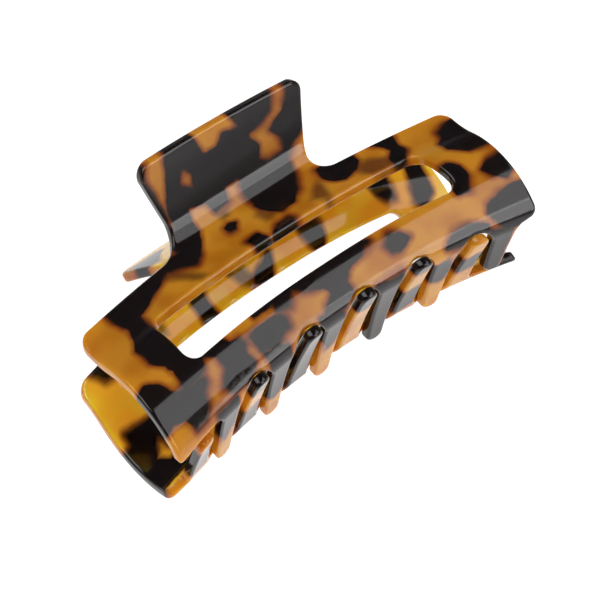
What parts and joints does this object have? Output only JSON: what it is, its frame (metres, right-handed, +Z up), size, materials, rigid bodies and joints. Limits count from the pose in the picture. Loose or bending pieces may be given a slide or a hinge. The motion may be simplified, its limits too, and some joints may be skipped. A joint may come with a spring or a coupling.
{
  "type": "claw hair clip",
  "caption": "Long claw clip for the hair, closed: bowed jaws of glossy mottled sheet, each with a window, grip tab and long teeth, hinged on a sprung pin.",
  "frame": {"origin": "centre of the bounding box's bottom face, on the surface that the clip lies on", "axes": "+X along the clip and its hinge axis, towards the end with the last teeth of the upper jaw; +Y from the teeth towards the grip tabs; +Z up, out through the upper jaw"},
  "size_m": [0.1066, 0.0616, 0.0467],
  "materials": {
    "jaw_sheet": "polished mottled cellulose acetate sheet, amber with near-black patches",
    "steel": "bright drawn steel wire and pin"
  },
  "bodies": {
    "lower": {"lower_jaw": "jaw_sheet", "lower_ear_left": "jaw_sheet", "lower_ear_right": "jaw_sheet", "hinge_pin": "steel", "torsion_spring": "steel"},
    "upper": {"upper_jaw": "jaw_sheet", "upper_ear_left": "jaw_sheet", "upper_ear_right": "jaw_sheet"}
  },
  "joints": [
    {"name": "jaw_hinge", "type": "hinge", "parent": "lower", "child": "upper", "pos_m": [0, 0.01238, 0.02119], "axis": [-1, 0, 0], "range_deg": [0, 60], "stiffness_Nm_per_rad": 0.1, "springref_deg": -28.65, "deforming": ["torsion_spring"]}
  ]
}
